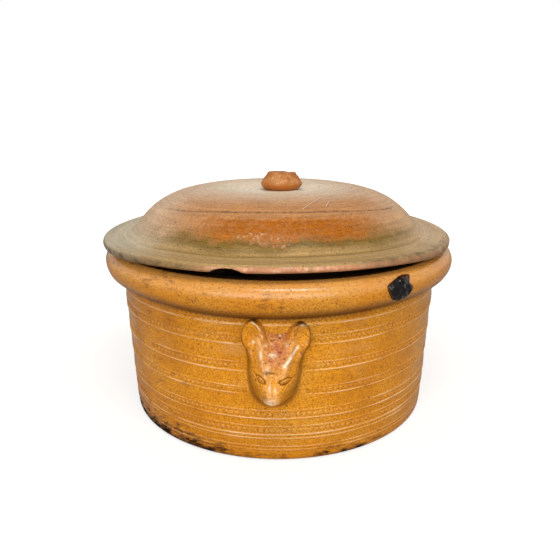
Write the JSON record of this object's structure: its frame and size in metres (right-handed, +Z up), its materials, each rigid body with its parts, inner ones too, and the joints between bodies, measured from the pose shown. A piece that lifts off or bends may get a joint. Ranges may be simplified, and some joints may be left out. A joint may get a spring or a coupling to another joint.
{
  "type": "lidded cooking pot",
  "caption": "Round stoneware cooking pot with a rolled rim, fox-head lugs on its wall and a lift-off domed lid with a squat knob.",
  "frame": {"origin": "middle of the pot's foot, on the surface that it stands on", "axes": "+Z up along the pot's axis, -Y towards the front lug, +X to the right seen from the front"},
  "size_m": [0.301, 0.3128, 0.2012],
  "materials": {
    "honey_salt_glaze": "glossy salt glaze with fine iron specks",
    "lug_salt_glaze": "glossy salt glaze, worn on the high places",
    "black_kiln_glass": "glassy, almost black",
    "ash_fired_clay": "semi-matt ash flashing over bare clay",
    "bare_terracotta": "matt, unglazed"
  },
  "bodies": {
    "pot": {"pot_body": "honey_salt_glaze", "front_head_lug": "lug_salt_glaze", "rear_head_lug": "lug_salt_glaze", "kiln_drip": "black_kiln_glass"},
    "lid": {"lid_dome": "ash_fired_clay", "lid_knob": "bare_terracotta"}
  },
  "joints": [
    {"name": "lid_lift", "type": "slide", "parent": "pot", "child": "lid", "axis": [0, 0, 1], "range_m": [0, 0.15]}
  ]
}
